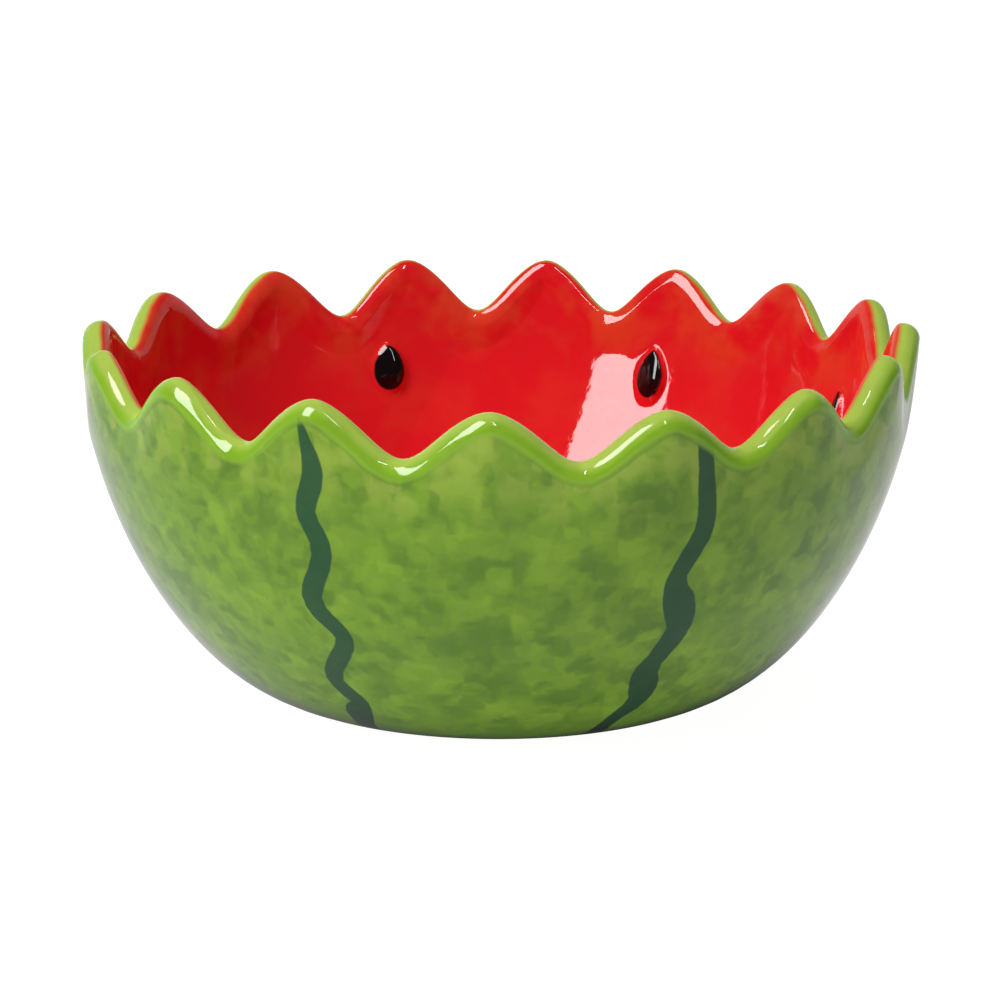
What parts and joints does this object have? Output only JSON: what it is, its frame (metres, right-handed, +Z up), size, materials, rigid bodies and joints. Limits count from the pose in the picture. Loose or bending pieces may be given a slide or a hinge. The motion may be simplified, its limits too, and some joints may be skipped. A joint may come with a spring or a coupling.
{
  "type": "watermelon-shaped ceramic serving bowl",
  "caption": "Glazed ceramic serving bowl shaped and painted like half a watermelon, with a zigzag rim and raised seeds inside.",
  "frame": {"origin": "middle of the foot, on the surface that the bowl stands on", "axes": "+Z up along the axis of the bowl, -Y towards the front, where a tip of the rim stands almost in the middle"},
  "size_m": [0.2104, 0.2094, 0.0931],
  "materials": {
    "painted_glaze": "glossy clear glaze over mottled green outside and red inside, with a lime rim, dark green stripes and black seeds"
  },
  "bodies": {
    "root": {"bowl": "painted_glaze"}
  },
  "joints": []
}
